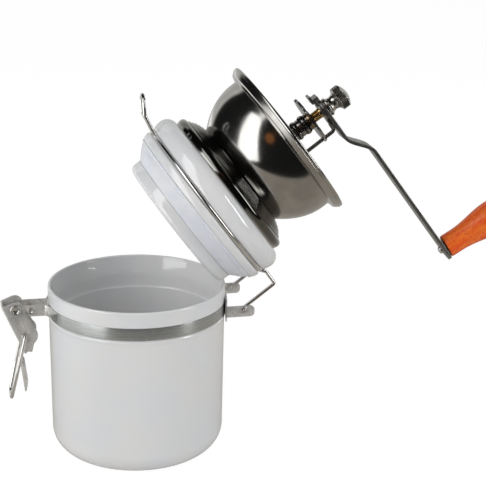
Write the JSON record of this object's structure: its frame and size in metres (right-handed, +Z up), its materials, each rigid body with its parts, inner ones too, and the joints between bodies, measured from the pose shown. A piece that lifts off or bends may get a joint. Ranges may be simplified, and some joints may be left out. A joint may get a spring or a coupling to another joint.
{
  "type": "manual coffee grinder",
  "caption": "Hand-cranked burr coffee grinder whose hinged lid carries the hopper, burrs, crank and wooden knob over a bail-latched ceramic canister",
  "frame": {"origin": "centre of the canister's flat underside, on the surface that it stands on", "axes": "+Z up along the canister's axis, +X towards the hinge and the crank, +Y along the hinge axis"},
  "size_m": [0.3046, 0.1018, 0.2177],
  "materials": {
    "canister": "white gloss glaze",
    "neck_band": "brushed stainless steel",
    "band_screw": "brushed stainless steel",
    "hinge_bracket": "brushed stainless steel",
    "latch_bracket": "brushed stainless steel",
    "lever_rivet": "bright drawn wire",
    "latch_lever": "brushed stainless steel",
    "latch_loop": "bright drawn wire",
    "lid": "white gloss glaze",
    "gasket": "pale translucent silicone",
    "lid_wire": "bright drawn wire",
    "collar": "black chrome mirror",
    "hopper_bowl": "black chrome mirror",
    "hopper_bridge": "black chrome mirror",
    "bearing_boss": "black chrome mirror",
    "bearing_bush": "plain brass",
    "bridge_rivets": "bright drawn wire",
    "burr_housing": "plain ground iron",
    "housing_nut": "brushed stainless steel",
    "outer_burr": "plain ground iron",
    "lower_bearing": "plain ground iron",
    "thrust_washer": "plain brass",
    "adjusting_disc": "grey steel",
    "shaft": "plain brass",
    "inner_burr": "plain ground iron",
    "burr_washer": "brushed stainless steel",
    "burr_screw": "brushed stainless steel",
    "burr_spring": "bright drawn wire",
    "stopper_plate": "dark gunmetal steel",
    "crank_arm": "dark gunmetal steel",
    "knob_pin": "bright drawn wire",
    "knob_washer": "dark gunmetal steel",
    "spring_washer": "dark gunmetal steel",
    "thumb_nut": "grey steel",
    "knob": "varnished orange-brown wood"
  },
  "bodies": {
    "canister_body": {"canister": "canister", "neck_band": "neck_band", "band_screw": "band_screw", "hinge_bracket": "hinge_bracket", "latch_bracket": "latch_bracket", "lever_rivet": "lever_rivet"},
    "latch_lever": {"latch_lever": "latch_lever"},
    "latch_loop": {"latch_loop": "latch_loop"},
    "grinder_head": {"lid": "lid", "gasket": "gasket", "lid_wire": "lid_wire", "collar": "collar", "hopper_bowl": "hopper_bowl", "hopper_bridge": "hopper_bridge", "bearing_boss": "bearing_boss", "bearing_bush": "bearing_bush", "bridge_rivets": "bridge_rivets", "burr_housing": "burr_housing", "housing_nut": "housing_nut", "outer_burr": "outer_burr", "lower_bearing": "lower_bearing"},
    "adjuster": {"thrust_washer": "thrust_washer", "adjusting_disc": "adjusting_disc"},
    "spindle": {"shaft": "shaft", "inner_burr": "inner_burr", "burr_washer": "burr_washer", "burr_screw": "burr_screw", "burr_spring": "burr_spring", "stopper_plate": "stopper_plate", "crank_arm": "crank_arm", "knob_pin": "knob_pin", "knob_washer": "knob_washer"},
    "lock_washer": {"spring_washer": "spring_washer"},
    "thumb_nut": {"thumb_nut": "thumb_nut"},
    "knob": {"knob": "knob"}
  },
  "joints": [
    {"name": "lid_hinge", "type": "hinge", "parent": "canister_body", "child": "grinder_head", "pos_m": [0.0579, 0, 0.0852], "axis": [0, 1, 0], "range_deg": [-53, 0]},
    {"name": "crank_turn", "type": "hinge", "parent": "grinder_head", "child": "adjuster", "pos_m": [0.09741, 0, 0.18747], "axis": [0.7986, 0, 0.6018], "continuous": true},
    {"name": "grind_lift", "type": "slide", "parent": "adjuster", "child": "spindle", "axis": [0.7986, 0, 0.6018], "range_m": [-0.0002, 0.0004]},
    {"name": "knob_spin", "type": "hinge", "parent": "spindle", "child": "knob", "pos_m": [0.18317, 0, 0.10873], "axis": [0.8526, 0, 0.5225], "continuous": true},
    {"name": "nut_lift", "type": "slide", "parent": "spindle", "child": "lock_washer", "axis": [0.7986, 0, 0.6018], "range_m": [0, 0.002]},
    {"name": "nut_turn", "type": "hinge", "parent": "lock_washer", "child": "thumb_nut", "pos_m": [0.09741, 0, 0.18747], "axis": [0.7986, 0, 0.6018], "range_deg": [0, 720]},
    {"name": "lever_swing", "type": "hinge", "parent": "canister_body", "child": "latch_lever", "pos_m": [-0.0685, 0, 0.0877], "axis": [0, 1, 0], "range_deg": [-10, 118]},
    {"name": "loop_swing", "type": "hinge", "parent": "latch_lever", "child": "latch_loop", "pos_m": [-0.06369, 0, 0.07262], "axis": [0, 1, 0], "range_deg": [-8, 172]}
  ],
  "couplings": [
    {"joint": "nut_lift", "follows": "nut_turn", "m_per_rad": 0.00015915}
  ]
}
